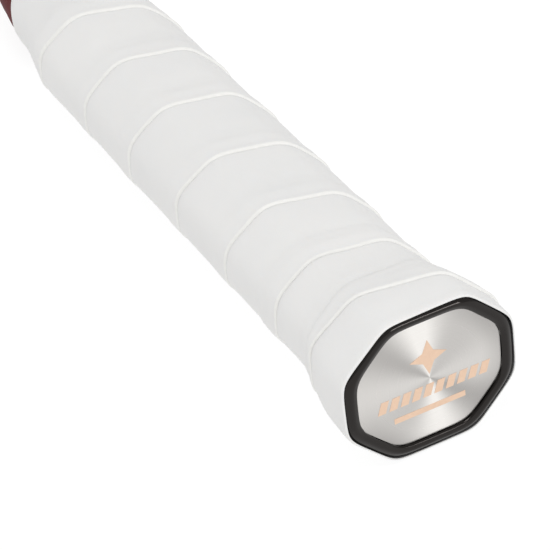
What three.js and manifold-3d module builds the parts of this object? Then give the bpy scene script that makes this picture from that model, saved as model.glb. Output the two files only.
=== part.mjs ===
// A badminton racket lying flat, in millimetres. +Y runs from the butt to the head, +Z is up, and the
// origin is the centre of the end plate's outer face.

import * as THREE from "three";
import { mergeVertices } from "three/addons/utils/BufferGeometryUtils.js";
import Module from "manifold-3d";

const wasm = await Module();
wasm.setup();

// ---- Driving dimensions ----

const GAP = 0.3; // clearance that neighbouring pieces keep

// Every handle section is an octagon, stated by half of its width along X.
const HEIGHT_SHARE = 0.872; // height over width
const BEVEL_SHARE = 0.516; // leg of each 45 degree bevel over half the width
const CORNER_SHARE = 0.1; // how far each corner is trimmed back over half the width

const RIM_HALF_WIDTH = 15.85;
const RIM_WALL = 1.9;
const RIM_PROUD = 0.6; // how far the rim stands in front of the end plate
const PLATE_THICKNESS = 0.8;
const PAD_THICKNESS = 0.5;
const CAP_FLOOR = 2.1;
const CAP_END = 15.4;
const SCREW_OFFSET = 6;
const SCREW_LENGTH = 14;

const CORE_HALF_WIDTH = 12.4;
const CORE_END = 148;
const TAPER_START = 130; // where the handle starts to narrow towards the cone
const TAPE_HALF_WIDTH = 13.6; // outside the tape, along the straight of the handle
const TAPE_END = 152.6;
const FINISHING_TAPE_END = 170;
const CONE_END = 196;

const SHAFT_RADIUS = 3.55;
const SHAFT_BORE = 2.3;
const SHAFT_START = 62;
const SHAFT_FIT = 0.15;

const RACKET_LENGTH = 675; // from the rim's face to the top of the head
const HEAD_HALF_WIDTH = 98; // of the frame's centreline
const HEAD_HALF_HEIGHT = 119.5;
const TOP_SQUARENESS = 2.5; // powers of the superellipse: 2 is an ellipse
const BOTTOM_SQUARENESS = 2.15;
const FRAME_HALF_WIDTH = 3.5; // in the plane of the head
const FRAME_HALF_HEIGHT = 5.2;
const GROOVE_FLOOR = -1.7; // inward from the centreline, as are the strip's and the string's places
const HEAD_CENTRE_Y = RACKET_LENGTH - RIM_PROUD - FRAME_HALF_WIDTH - HEAD_HALF_HEIGHT;

const JOINT_HALF_SPAN = 10.6; // half of the head's arc that the T-joint fills
const JOINT_SPIGOT = 7;
const STEM_LENGTH = 27;
const SOCKET_DEPTH = 20;

const MAINS_PER_SIDE = 11;
const MAIN_PITCH = 8.5;
const CROSSES = 21;
const CROSS_PITCH = 9.6;
const STRING_RADIUS = 0.38;
const LAYER = 0.45; // the mains lie this far above the middle plane, and the crosses below it
const HOLE_RADIUS = 1.65; // holes and barrels are square, so this is half of the diagonal
const HOLE_MIN_PITCH = 4.6;
const THROAT_SLANT = 3.75; // how far the two throat holes move outwards along the head
const TIE_OFFSET = 6; // from a string's last hole to its tie-off hole

const STRIP_TOP = -2.4;
const STRIP_BOTTOM = -1.9;
const STRIP_HALF_HEIGHT = 1.85;
const STRIP_MARGIN = 2;
const BARREL_RADIUS = 1.2;
const BARREL_BORE = 0.72;
const BARREL_TIP = 4.5;
const LOOP_DEPTH = -2.9;

// ---- Materials ----

const paint = (color, roughness, metalness = 0) =>
  new THREE.MeshStandardMaterial({ color, roughness, metalness });
const whitePolyurethane = paint(0xe8e7e3, 0.6);
const blackPlastic = paint(0x2b2928, 0.35);
const spunAluminium = paint(0xd0cdc9, 0.3, 1);
const adhesiveFoam = paint(0xd8d2c0, 0.9);
const zincSteel = paint(0xb9bcbf, 0.35, 1);
const wood = paint(0xc9a46c, 0.7);
const darkRedTape = paint(0x6a262b, 0.4);
const darkRedPlastic = paint(0x6a262b, 0.25);
const graphite = paint(0x24262a, 0.25);
const darkRedLacquer = paint(0x7a1f27, 0.2);
const blackNylon = paint(0x1c1c1d, 0.5);
const stringNylon = paint(0xf2efe4, 0.35);

// ---- Solids ----

function solid(geometry) {
  const bare = new THREE.BufferGeometry().setAttribute("position", geometry.getAttribute("position"));
  if (geometry.index) bare.setIndex(geometry.index);
  const merged = mergeVertices(bare, 1e-4);
  const mesh = new wasm.Mesh({
    numProp: 3,
    vertProperties: merged.getAttribute("position").array,
    triVerts: new Uint32Array(merged.index.array),
  });
  return new wasm.Manifold(mesh);
}

function geometryOf(manifold) {
  const { vertProperties, triVerts } = manifold.getMesh();
  return new THREE.BufferGeometry()
    .setAttribute("position", new THREE.BufferAttribute(vertProperties, 3))
    .setIndex(new THREE.BufferAttribute(triVerts, 1));
}

const racket = new THREE.Group();

function addPart(name, manifold, material) {
  const mesh = new THREE.Mesh(geometryOf(manifold), material);
  mesh.name = name;
  racket.add(mesh);
}

const joinAll = (solids) => solids.reduce((whole, next) => whole.add(next));
const cutAll = (body, cutters) => cutters.reduce((rest, next) => rest.subtract(next), body);

// The octagon of half-width 1, with each corner trimmed to a short edge.
function unitOctagon() {
  const flat = HEIGHT_SHARE - BEVEL_SHARE;
  const corners = [
    [1, -flat],
    [1, flat],
    [1 - BEVEL_SHARE, HEIGHT_SHARE],
    [BEVEL_SHARE - 1, HEIGHT_SHARE],
    [-1, flat],
    [-1, -flat],
    [BEVEL_SHARE - 1, -HEIGHT_SHARE],
    [1 - BEVEL_SHARE, -HEIGHT_SHARE],
  ].map(([x, y]) => new THREE.Vector2(x, y));
  const towards = (corner, other) => other.clone().sub(corner).setLength(CORNER_SHARE).add(corner);
  return corners.flatMap((corner, i) => [
    towards(corner, corners.at(i - 1)),
    towards(corner, corners[(i + 1) % corners.length]),
  ]);
}

// A solid along +Y through stations [y, half-width, roundness]. Roundness 0 is the octagon, 1 a circle.
function loft(stations) {
  const steps = stations.length - 1;
  const section = new THREE.Shape(unitOctagon());
  const geometry = new THREE.ExtrudeGeometry(section, { depth: steps, steps, bevelEnabled: false });
  const position = geometry.getAttribute("position");
  for (let i = 0; i < position.count; i++) {
    const [y, halfWidth, roundness = 0] = stations[Math.round(position.getZ(i))];
    const [across, up] = [position.getX(i), position.getY(i)];
    const scale = halfWidth * THREE.MathUtils.lerp(1, 1 / Math.hypot(across, up), roundness);
    position.setXYZ(i, across * scale, y, -up * scale);
  }
  return solid(geometry);
}

function rod(from, to, radius, sides, endRadius = radius) {
  const along = to.clone().sub(from);
  const geometry = new THREE.CylinderGeometry(endRadius, radius, along.length(), sides);
  const up = new THREE.Vector3(0, 1, 0);
  geometry.applyQuaternion(new THREE.Quaternion().setFromUnitVectors(up, along.clone().normalize()));
  const middle = from.clone().add(to).multiplyScalar(0.5);
  geometry.translate(middle.x, middle.y, middle.z);
  return solid(geometry);
}

const axialRod = (x, y0, y1, radius, sides, endRadius) =>
  rod(new THREE.Vector3(x, y0, 0), new THREE.Vector3(x, y1, 0), radius, sides, endRadius);

// ---- Handle ----

const RECESS_FLOOR = PLATE_THICKNESS + PAD_THICKNESS + 2 * GAP;
const CAP_BACK = RECESS_FLOOR + CAP_FLOOR;
const CORE_START = CAP_BACK + GAP;
const SHAFT_END = HEAD_CENTRE_Y - HEAD_HALF_HEIGHT - STEM_LENGTH + SOCKET_DEPTH - GAP;
const SCREW_SIDES = 10;
const screwPlaces = { left: -SCREW_OFFSET, right: SCREW_OFFSET };

// The flare of the butt cap under the tape, and the core, both as [y, half-width, roundness].
const FLARE = [
  [5.5, RIM_HALF_WIDTH],
  [9, 15.3],
  [13, 14.3],
];
const CORE_TAPER = [
  [TAPER_START, CORE_HALF_WIDTH, 0],
  [136, 11.75, 0.15],
  [140, 11.1, 0.3],
  [144, 10.1, 0.45],
  [CORE_END, 9.6, 0.6],
];

function makeEndPlate() {
  return loft([
    [0, RIM_HALF_WIDTH - RIM_WALL - GAP],
    [PLATE_THICKNESS, RIM_HALF_WIDTH - RIM_WALL - GAP],
  ]);
}

function makePlatePad() {
  const front = PLATE_THICKNESS + GAP;
  const halfWidth = RIM_HALF_WIDTH - RIM_WALL - 2 * GAP;
  return loft([
    [front, halfWidth],
    [front + PAD_THICKNESS, halfWidth],
  ]);
}

function makeButtCap() {
  const body = loft([
    [-RIM_PROUD, RIM_HALF_WIDTH - 0.45],
    [-RIM_PROUD + 0.4, RIM_HALF_WIDTH],
    ...FLARE,
    [CAP_END, 13.6],
  ]);
  const recess = loft([
    [-2, RIM_HALF_WIDTH - RIM_WALL],
    [RECESS_FLOOR, RIM_HALF_WIDTH - RIM_WALL],
  ]);
  const socket = loft([
    [CAP_BACK, CORE_HALF_WIDTH + GAP],
    [CAP_END + 1, CORE_HALF_WIDTH + GAP],
  ]);
  const screwHoles = Object.values(screwPlaces).flatMap((x) => [
    axialRod(x, RECESS_FLOOR - 0.5, RECESS_FLOOR + 1.2, 2.3, SCREW_SIDES),
    axialRod(x, RECESS_FLOOR, CAP_BACK + 1, 1.1, SCREW_SIDES),
  ]);
  return cutAll(body, [recess, socket, ...screwHoles]);
}

function makeCapScrew(x) {
  const head = axialRod(x, RECESS_FLOOR + 0.1, RECESS_FLOOR + 0.9, 2, SCREW_SIDES);
  const shank = axialRod(x, RECESS_FLOOR + 0.5, RECESS_FLOOR + SCREW_LENGTH, 0.8, SCREW_SIDES, 0.4);
  return head.add(shank);
}

function makeHandleCore() {
  const body = loft([[CORE_START, CORE_HALF_WIDTH], ...CORE_TAPER]);
  const shaftBore = axialRod(0, SHAFT_START - 1, CORE_END + 1, SHAFT_RADIUS + SHAFT_FIT, 20);
  const screwHoles = Object.values(screwPlaces).map((x) =>
    axialRod(x, CORE_START - 1, RECESS_FLOOR + SCREW_LENGTH + 1, 1.1, SCREW_SIDES),
  );
  return cutAll(body, [shaftBore, ...screwHoles]);
}

// The wound grip tape as one plain sleeve, with the mean thickness of its overlapping turns.
function makeGripTape() {
  const outside = loft([
    [0, 16.5],
    [1, 16.8],
    [5.5, 16.9],
    [9, 16.5],
    [13, 15.5],
    [CAP_END, 14.9],
    [17, 14.3],
    [21, TAPE_HALF_WIDTH],
    [TAPER_START, TAPE_HALF_WIDTH],
    [136, 12.95, 0.15],
    [140, 12.3, 0.3],
    [144, 11.3, 0.45],
    [CORE_END, 10.9, 0.6],
    [TAPE_END, 10.5, 0.8],
  ]);
  const wider = ([y, halfWidth, roundness]) => [y, halfWidth + GAP, roundness];
  const inside = loft([
    [-1, RIM_HALF_WIDTH + GAP],
    ...FLARE.map(wider),
    [CAP_END + GAP, 13.9],
    [CAP_END + 2, CORE_HALF_WIDTH + GAP],
    ...CORE_TAPER.map(wider),
    [TAPE_END + 1, 9.2, 0.8],
  ]);
  return outside.subtract(inside);
}

function makeFinishingTape() {
  const start = TAPE_END + GAP;
  const outside = loft([
    [start, 9.8, 0.8],
    [158, 9.2, 0.9],
    [FINISHING_TAPE_END, 7.5, 1],
  ]);
  const inside = loft([
    [start - 1, 9.2, 0.8],
    [158, 8.6, 0.9],
    [FINISHING_TAPE_END + 1, 6.8, 1],
  ]);
  return outside.subtract(inside);
}

function makeCone() {
  const outside = loft([
    [CORE_END + GAP, 9.2, 0.6],
    [TAPE_END, 8.8, 0.8],
    [158, 8.2, 0.9],
    [FINISHING_TAPE_END, 6.6, 1],
    [184, 5.3, 1],
    [CONE_END - 1, 4.6, 1],
    [CONE_END, 4.2, 1],
  ]);
  const bore = axialRod(0, CORE_END - 1, CONE_END + 1, SHAFT_RADIUS + SHAFT_FIT, 20);
  return outside.subtract(bore);
}

function makeShaft() {
  const tube = axialRod(0, SHAFT_START, SHAFT_END, SHAFT_RADIUS, 20);
  return tube.subtract(axialRod(0, SHAFT_START - 1, SHAFT_END + 1, SHAFT_BORE, 10));
}

// ---- Head ----

// The frame's centreline, anticlockwise seen from above, starting at the throat.
class HeadCurve extends THREE.Curve {
  arcLengthDivisions = 4000;

  getPoint(t, target = new THREE.Vector3()) {
    const angle = (t - 0.25) * 2 * Math.PI;
    const [c, s] = [Math.cos(angle), Math.sin(angle)];
    const power = 2 / (s > 0 ? TOP_SQUARENESS : BOTTOM_SQUARENESS);
    const x = HEAD_HALF_WIDTH * Math.sign(c) * Math.abs(c) ** power;
    const y = HEAD_CENTRE_Y + HEAD_HALF_HEIGHT * Math.sign(s) * Math.abs(s) ** power;
    return target.set(x, y, 0);
  }
}

const head = new HeadCurve();
const perimeter = head.getLength();

// The point at a distance along the centreline from the throat, moved inwards and up.
function onHead(along, inward, z = 0) {
  const share = THREE.MathUtils.euclideanModulo(along / perimeter, 1);
  const tangent = head.getTangentAt(share);
  const side = new THREE.Vector3(-tangent.y, tangent.x, 0).multiplyScalar(inward);
  return head.getPointAt(share).add(side).setZ(z);
}

class HeadArc extends THREE.Curve {
  constructor(from, to) {
    super();
    this.from = from;
    this.to = to;
  }

  getPoint(t, target = new THREE.Vector3()) {
    return target.copy(onHead(THREE.MathUtils.lerp(this.from, this.to, t), 0));
  }
}

// Sweeps a section along an arc of the head. Section points are [up, inward from the centreline].
function sweepOnHead(section, from, to, steps) {
  const shape = new THREE.Shape(section.outline.map((p) => new THREE.Vector2(...p)));
  if (section.hollow) shape.holes.push(new THREE.Path(section.hollow.map((p) => new THREE.Vector2(...p))));
  const path = new HeadArc(from, to);
  return solid(new THREE.ExtrudeGeometry(shape, { extrudePath: path, steps, bevelEnabled: false }));
}

// Half an outline from the outside of the head to its inside, mirrored to both sides of the middle plane.
const mirrored = (half) => [...half, ...half.map(([up, inward]) => [-up, inward]).reverse()];

const FRAME_OUTLINE = mirrored([
  [2.2, GROOVE_FLOOR],
  [2.4, -FRAME_HALF_WIDTH],
  [4.1, -3],
  [FRAME_HALF_HEIGHT, -1],
  [FRAME_HALF_HEIGHT, 1],
  [3.2, FRAME_HALF_WIDTH],
]);
const FRAME_HOLLOW = mirrored([
  [3.6, -0.9],
  [4, 0.6],
  [2.2, 2.4],
]);
const SPIGOT_OUTLINE = mirrored([
  [3.3, -0.6],
  [3.7, 0.5],
  [1.9, 2.1],
]);
const STRIP_OUTLINE = mirrored([
  [STRIP_HALF_HEIGHT, STRIP_TOP],
  [STRIP_HALF_HEIGHT, STRIP_BOTTOM],
]);

// ---- String holes ----

// Each hole has the place of its outer end along the head, its inner end, and its height.
const hole = (along, z) => ({ outer: along, inner: along, z });

// Where a coordinate of the string's inner hole end reaches a value, between two places on the head.
function findAlong(axis, value, low, high) {
  const rising = onHead(high, BARREL_TIP)[axis] > onHead(low, BARREL_TIP)[axis];
  for (let i = 0; i < 40; i++) {
    const middle = (low + high) / 2;
    if (onHead(middle, BARREL_TIP)[axis] < value === rising) low = middle;
    else high = middle;
  }
  return low;
}

const widest = findAlong("y", HEAD_CENTRE_Y, perimeter * 0.2, perimeter * 0.3);

// The holes of the right-hand half of the head, by use.
const right = { mainBottom: [], mainTop: [], cross: [] };
for (let i = 0; i < MAINS_PER_SIDE; i++) {
  const x = MAIN_PITCH * (i + 0.5);
  right.mainBottom.push(hole(findAlong("x", x, 0, widest), LAYER));
  right.mainTop.push(hole(findAlong("x", x, widest, perimeter / 2), LAYER));
}
for (let i = 0; i < CROSSES; i++) {
  const y = HEAD_CENTRE_Y + CROSS_PITCH * ((CROSSES - 1) / 2 - i);
  right.cross.push(hole(findAlong("y", y, perimeter * 0.02, perimeter * 0.48), -LAYER));
}
right.mainTie = [hole(right.mainBottom.at(-1).outer + TIE_OFFSET, LAYER)];
right.crossTie = [
  hole(right.cross[0].outer + TIE_OFFSET, -LAYER),
  hole(right.cross.at(-1).outer - TIE_OFFSET, -LAYER),
];

const rightHoles = Object.values(right)
  .flat()
  .sort((p, q) => p.outer - q.outer);

// Moves holes that are too close apart along the head.
for (let pass = 0; pass < 100; pass++) {
  for (let i = 1; i < rightHoles.length; i++) {
    const short = HOLE_MIN_PITCH - (rightHoles[i].outer - rightHoles[i - 1].outer);
    if (short <= 0) continue;
    rightHoles[i].outer += short / 2;
    rightHoles[i - 1].outer -= short / 2;
    rightHoles[i].inner = rightHoles[i].outer;
    rightHoles[i - 1].inner = rightHoles[i - 1].outer;
  }
}
right.mainBottom[0].outer += THROAT_SLANT;

const mirrorHole = ({ outer, inner, z }) => ({ outer: perimeter - outer, inner: perimeter - inner, z });
const left = Object.fromEntries(Object.entries(right).map(([use, holes]) => [use, holes.map(mirrorHole)]));
const allHoles = [...rightHoles, ...rightHoles.map(mirrorHole)];

// A point on a hole's axis, which runs straight from the strip's underside to the barrel's tip.
function inHole({ outer, inner, z }, inward) {
  const share = (inward - STRIP_BOTTOM) / (BARREL_TIP - STRIP_BOTTOM);
  return onHead(outer, STRIP_BOTTOM, z).lerp(onHead(inner, BARREL_TIP, z), share);
}

const throughHole = (place, from, to, radius) =>
  rod(inHole(place, from), inHole(place, to), radius, 4);

const drills = allHoles.map((place) => throughHole(place, -5, 6, HOLE_RADIUS));

function makeHeadFrame() {
  const tube = sweepOnHead(
    { outline: FRAME_OUTLINE, hollow: FRAME_HOLLOW },
    JOINT_HALF_SPAN + GAP / 2,
    perimeter - JOINT_HALF_SPAN - GAP / 2,
    64,
  );
  return cutAll(tube, drills);
}

function makeTJoint() {
  const arms = sweepOnHead({ outline: FRAME_OUTLINE }, -JOINT_HALF_SPAN + GAP / 2, JOINT_HALF_SPAN - GAP / 2, 4);
  const spigotEnd = JOINT_HALF_SPAN + JOINT_SPIGOT;
  const spigots = sweepOnHead({ outline: SPIGOT_OUTLINE }, -spigotEnd, spigotEnd, 8);
  const throat = HEAD_CENTRE_Y - HEAD_HALF_HEIGHT;
  const stem = joinAll([
    axialRod(0, throat - 10, throat + 1, 4.9, 20, 5.6),
    axialRod(0, throat - STEM_LENGTH, throat - 9.9, 4.4, 20, 4.9),
  ]);
  const socket = axialRod(
    0,
    throat - STEM_LENGTH - 1,
    throat - STEM_LENGTH + SOCKET_DEPTH,
    SHAFT_RADIUS + SHAFT_FIT,
    20,
  );
  return cutAll(joinAll([arms, spigots, stem]), [socket, ...drills]);
}

// A strip in the groove with one barrel through the frame for each of its holes.
function makeGrommetStrip(holes) {
  const places = holes.map(({ outer }) => outer);
  const [first, last] = [Math.min(...places), Math.max(...places)];
  const steps = Math.ceil((last - first) / 9);
  const band = sweepOnHead({ outline: STRIP_OUTLINE }, first - STRIP_MARGIN, last + STRIP_MARGIN, steps);
  const barrels = holes.map((place) => throughHole(place, STRIP_BOTTOM - 0.2, BARREL_TIP, BARREL_RADIUS));
  const bores = holes.map((place) => throughHole(place, -4, BARREL_TIP + 1, BARREL_BORE));
  return cutAll(joinAll([band, ...barrels]), bores);
}

// ---- Strings ----

// A path whose steps fall exactly on its own points.
class PointPath extends THREE.Curve {
  constructor(points) {
    super();
    this.points = points;
  }

  getPointAt(share, target = new THREE.Vector3()) {
    return target.copy(this.points[Math.round(share * (this.points.length - 1))]);
  }

  getTangentAt(share, target = new THREE.Vector3()) {
    const i = Math.round(share * (this.points.length - 1));
    const [before, here, after] = [this.points[i - 1], this.points[i], this.points[i + 1]];
    target.set(0, 0, 0);
    if (before) target.add(here.clone().sub(before).normalize());
    if (after) target.add(after.clone().sub(here).normalize());
    return target.normalize();
  }
}

// The string's points from inside one hole, round the frame in the groove, to inside the next.
function loopAround(from, to) {
  const turn = 0.4 * Math.sign(to.outer - from.outer);
  const [start, end] = [from.outer + turn, to.outer - turn];
  const steps = Math.max(1, Math.ceil(Math.abs(end - start) / 6));
  const inGroove = Array.from({ length: steps + 1 }, (_, i) =>
    onHead(THREE.MathUtils.lerp(start, end, i / steps), LOOP_DEPTH, from.z),
  );
  return [
    inHole(from, BARREL_TIP + 0.4),
    inHole(from, LOOP_DEPTH + 0.35),
    ...inGroove,
    inHole(to, LOOP_DEPTH + 0.35),
    inHole(to, BARREL_TIP + 0.4),
  ];
}

// One string laced through pairs of holes, each pair joined round the outside of the frame, with a
// knot on each end.
function makeString(pairs) {
  const points = pairs.flatMap(([from, to]) => loopAround(from, to));
  const tail = (end, next) => end.clone().add(end.clone().sub(next).setLength(1.2));
  const ends = [tail(points[0], points[1]), tail(points.at(-1), points.at(-2))];
  const path = new PointPath([ends[0], ...points, ends[1]]);
  const corners = [0, 1, 2, 3].map((i) => (i + 0.5) * (Math.PI / 2));
  const section = new THREE.Shape(
    corners.map((angle) => new THREE.Vector2(Math.cos(angle), Math.sin(angle)).multiplyScalar(STRING_RADIUS * 1.2)),
  );
  const steps = path.points.length - 1;
  const line = solid(new THREE.ExtrudeGeometry(section, { extrudePath: path, steps, bevelEnabled: false }));
  const knots = [
    rod(points[0], ends[0], 0.95, 6),
    rod(points.at(-1), ends[1], 0.95, 6),
  ];
  return joinAll([line, ...knots]);
}

// From the left tie-off through the left mains to the centre, and out again to the right tie-off.
function mainStringPairs() {
  const half = (side) => {
    const pairs = [];
    for (let i = 0; i + 1 < MAINS_PER_SIDE; i++) {
      const row = i % 2 === 0 ? side.mainBottom : side.mainTop;
      pairs.push([row[i], row[i + 1]]);
    }
    return [...pairs, [side.mainBottom.at(-1), side.mainTie[0]]];
  };
  const reversed = (pairs) => pairs.map(([from, to]) => [to, from]).reverse();
  return [...reversed(half(left)), [left.mainTop[0], right.mainTop[0]], ...half(right)];
}

// From the top left tie-off back and forth down to the bottom right tie-off.
function crossStringPairs() {
  const pairs = [[left.crossTie[0], left.cross[0]]];
  for (let i = 0; i + 1 < CROSSES; i++) {
    const side = i % 2 === 0 ? right : left;
    pairs.push([side.cross[i], side.cross[i + 1]]);
  }
  return [...pairs, [right.cross.at(-1), right.crossTie[1]]];
}

// ---- Assembly ----

addPart("end_plate", makeEndPlate(), spunAluminium);
addPart("plate_adhesive_pad", makePlatePad(), adhesiveFoam);
addPart("butt_cap", makeButtCap(), blackPlastic);
for (const [side, x] of Object.entries(screwPlaces)) addPart(`cap_screw_${side}`, makeCapScrew(x), zincSteel);
addPart("handle_core", makeHandleCore(), wood);
addPart("grip_tape", makeGripTape(), whitePolyurethane);
addPart("finishing_tape", makeFinishingTape(), darkRedTape);
addPart("cone", makeCone(), darkRedPlastic);
addPart("shaft", makeShaft(), graphite);
addPart("t_joint", makeTJoint(), darkRedLacquer);
addPart("head_frame", makeHeadFrame(), darkRedLacquer);

const STRIP_ZONES = ["throat", "lower", "side", "upper", "crown"];
const holesPerStrip = Math.ceil(rightHoles.length / STRIP_ZONES.length);
STRIP_ZONES.forEach((zone, i) => {
  const holes = rightHoles.slice(i * holesPerStrip, (i + 1) * holesPerStrip);
  addPart(`grommet_strip_${zone}_right`, makeGrommetStrip(holes), blackNylon);
  addPart(`grommet_strip_${zone}_left`, makeGrommetStrip(holes.map(mirrorHole)), blackNylon);
});

addPart("main_string", makeString(mainStringPairs()), stringNylon);
addPart("cross_string", makeString(crossStringPairs()), stringNylon);

export default racket;
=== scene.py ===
# A badminton racket with a white wound grip, seen from the butt of its handle.
# Lengths are in millimetres, and are turned into metres where objects are made.

import math

import bmesh
import bpy
import numpy as np
from mathutils import Matrix, Vector


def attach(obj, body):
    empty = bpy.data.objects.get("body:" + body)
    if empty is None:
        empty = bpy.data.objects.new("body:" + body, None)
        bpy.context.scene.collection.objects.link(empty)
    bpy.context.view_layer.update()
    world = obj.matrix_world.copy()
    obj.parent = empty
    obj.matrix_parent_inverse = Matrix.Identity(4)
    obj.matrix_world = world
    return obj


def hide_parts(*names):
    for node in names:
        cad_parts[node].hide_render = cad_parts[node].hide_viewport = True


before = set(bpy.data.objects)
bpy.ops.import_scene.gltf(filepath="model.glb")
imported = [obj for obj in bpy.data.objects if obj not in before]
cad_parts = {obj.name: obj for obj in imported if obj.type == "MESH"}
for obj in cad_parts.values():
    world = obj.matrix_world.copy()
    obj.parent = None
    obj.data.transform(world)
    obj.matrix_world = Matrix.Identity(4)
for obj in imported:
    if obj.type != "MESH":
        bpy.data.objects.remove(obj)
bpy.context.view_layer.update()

MM = 0.001
TURN = 2 * math.pi

# ---- Driving dimensions ----

# The camera's place in metres, its view direction and its up direction.
CAMERA_PLACE = (-0.16039, -0.30721, 0.27399)
CAMERA_LOOK = (0.32632, 0.74236, -0.58516)
CAMERA_UP = (0.34568, 0.48246, 0.80482)
CAMERA_LENS = 175.43

# The handle's octagon for a half-width of 1: the way each face looks, and its distance.
HALF_HEIGHT = 0.872
BEVEL_DISTANCE = 0.9588
OCTAGON_FACES = [(0, 1), (45, BEVEL_DISTANCE), (90, HALF_HEIGHT), (135, BEVEL_DISTANCE)]
# How sharp the octagon's corners are: at the front of the tape, on the cap and at the grip's end.
FRONT_SHARPNESS = 23.7
CAP_SHARPNESS = 18
END_SHARPNESS = 17
# How round the outline is at a distance from the butt: an octagon that turns into a circle.
ROUNDNESS_PLACES = [130, 136, 140, 144, 148, 153, 158]
ROUNDNESS = [0, 0.15, 0.3, 0.45, 0.6, 0.8, 1]

# The outside of one layer of tape, as distance from the butt and half-width.
TAPE_PROFILE = [
    (0, 16.45),
    (4.2, 16.5),
    (6.6, 16.45),
    (9, 16.1),
    (11, 15.65),
    (13, 15.15),
    (14.8, 14.95),
    (15.3, 14.2),
    (16.1, 14.12),
    (16.8, 14.22),
    (17.6, 14.1),
    (19, 13.8),
    (21, 13.7),
    (128, 13.7),
    (131, 13.5),
    (133, 13.05),
    (136, 12.5),
    (140, 11.8),
    (144, 11.1),
    (148, 10.9),
    (150, 10.65),
    (152.6, 10.3),
]
# Where the tape's cut edge lies: turns of the helix since the seam angle, and distance from the butt.
SEAM_ANGLE = 150
TAPE_SEAMS = [
    (-1, -24),
    (0, -4),
    (0.75, 6.5),
    (1, 11.9),
    (1.75, 23.3),
    (2, 27.3),
    (2.75, 40.8),
    (3, 45.9),
    (3.75, 60.1),
    (4, 65.5),
    (4.75, 80.5),
    (5, 85.9),
    (5.75, 100.3),
    (6, 105.6),
    (6.75, 120.2),
    (7, 126.8),
    (8, 153.5),
    (10, 193),
]
# The front of the tape: distance from the butt, inset, and share of the lap onto the rim.
TAPE_FRONT_SECTION = [
    (2.4, 0.08, 0),
    (1.2, 0, 0),
    (0.7, -0.01, 0),
    (0.2, 0, 0.5),
    (-0.1, 0.04, 1),
    (-0.3, 0.12, 1),
    (-0.42, 0.24, 1),
    (-0.45, 0.36, 1),
    (-0.4, 0.46, 1),
    (-0.2, 0.4, 1),
    (0.2, 0.28, 0),
    (2.4, 0.3, 0),
]
# How much further in and forward the front goes where it laps most.
LAP_INSET = 0.06
LAP_FORWARD = 0.22
# Where the winding starts, under the front.
TAPE_FRONT = 0.8
# The tape's end, and the slant there: the angle in degrees where it is cut back most, how far to
# either side the cut reaches, and its depth.
TAPE_END = 152.6
SLANT_ANGLE = 185
SLANT_REACH = 25
SLANT_DEPTH = 2.2
# The rounded edge at the tape's end, as distance back and inset. The winding stops a little short.
TAPE_END_SECTION = [(1.2, 0.05), (0.5, 0.05), (0.15, 0.15), (0, 0.3), (0, 0.9), (1.2, 0.9)]
WINDING_SHORT = 0.4
# The tape across its width: distance from its cut edge over the pitch, and height over one layer.
TAPE_SECTION = [
    (-0.01, -0.3),
    (-0.015, -0.04),
    (-0.013, 0.12),
    (-0.006, 0.28),
    (0.003, 0.38),
    (0.013, 0.42),
    (0.026, 0.4),
    (0.04, 0.33),
    (0.06, 0.27),
    (0.1, 0.25),
    (0.15, 0.25),
    (0.19, 0.24),
    (0.22, 0.18),
    (0.25, 0.09),
    (0.28, 0.03),
    (0.31, 0.01),
    (0.34, 0),
    (0.37, 0),
    (0.4, 0),
    (0.44, 0),
    (0.49, 0),
    (0.55, 0),
    (0.65, 0),
    (0.75, 0),
    (0.85, 0),
    (0.95, 0),
    (1.0, -0.02),
    (1.03, -0.12),
]
EDGE_COLUMNS = 5  # the first columns of the section are the tape's cut edge

# The cap round the plate, as distance from the plate's face and half-width: from its floor up beside
# the plate, over the round bead, back under the tape, and across the floor.
RIM_SECTION = [
    (2.1, 13.85),
    (0.1, 13.8),
    (-0.1, 13.78),
    (-0.3, 13.76),
    (-0.42, 13.8),
    (-0.5, 13.95),
    (-0.56, 14.15),
    (-0.65, 14.42),
    (-0.68, 14.58),
    (-0.68, 14.78),
    (-0.65, 14.98),
    (-0.57, 15.2),
    (-0.43, 15.5),
    (-0.27, 15.75),
    (-0.08, 15.94),
    (0.1, 16.04),
    (0.3, 16.08),
    (0.9, 16.05),
    (5.5, 15.85),
    (9, 15.3),
    (13, 14.3),
    (15.4, 13.6),
    (15.4, 12.9),
    (4.3, 12.8),
    (4, 11),
    (4, 0.01),
    (2.1, 0.01),
]

# The finishing tape from under the grip tape's end to the cone, as distance and half-width.
FINISHING_BAND = [
    (148.5, 9.8),
    (148.5, 10.4),
    (150, 10.35),
    (152, 10.15),
    (154, 10.05),
    (156, 9.75),
    (158, 9.4),
    (160, 9.15),
    (162.6, 8.7),
    (166.3, 8.05),
    (169.7, 7.55),
    (170, 7.4),
    (170, 6.7),
    (152.2, 9.1),
]

# The cone: where it narrows to its mouth, its radius before and after, and its bore.
CONE_START = 148.4
CONE_NARROWS = (171, 194)
CONE_RADIUS = 6.5
CONE_MOUTH_RADIUS = 4.6
CONE_BORE = 3.75

# The shaft, and the start and end of the rings on it.
SHAFT_ENDS = (62, 424.6)
SHAFT_RADIUS = 3.55
SHAFT_BORE = 2.3
SHAFT_RINGS = [("lower", 203, 204.2), ("lower_thin", 206, 206.5), ("upper", 396, 397.2)]
SHAFT_RING_RADIUS = 3.58

# The centreline of the head: a superellipse that is fuller above its widest place than below it.
HEAD_CENTRE = 551.4
HEAD_HALF_WIDTH = 98
HEAD_HALF_HEIGHT = 119.5
TOP_POWER = 2 / 2.5
BOTTOM_POWER = 2 / 2.15
# The T-joint's half-length along the centreline, and half the seam between it and the hoop.
JOINT_HALF_SPAN = 10.6
JOINT_HALF_SEAM = 0.1
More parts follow.
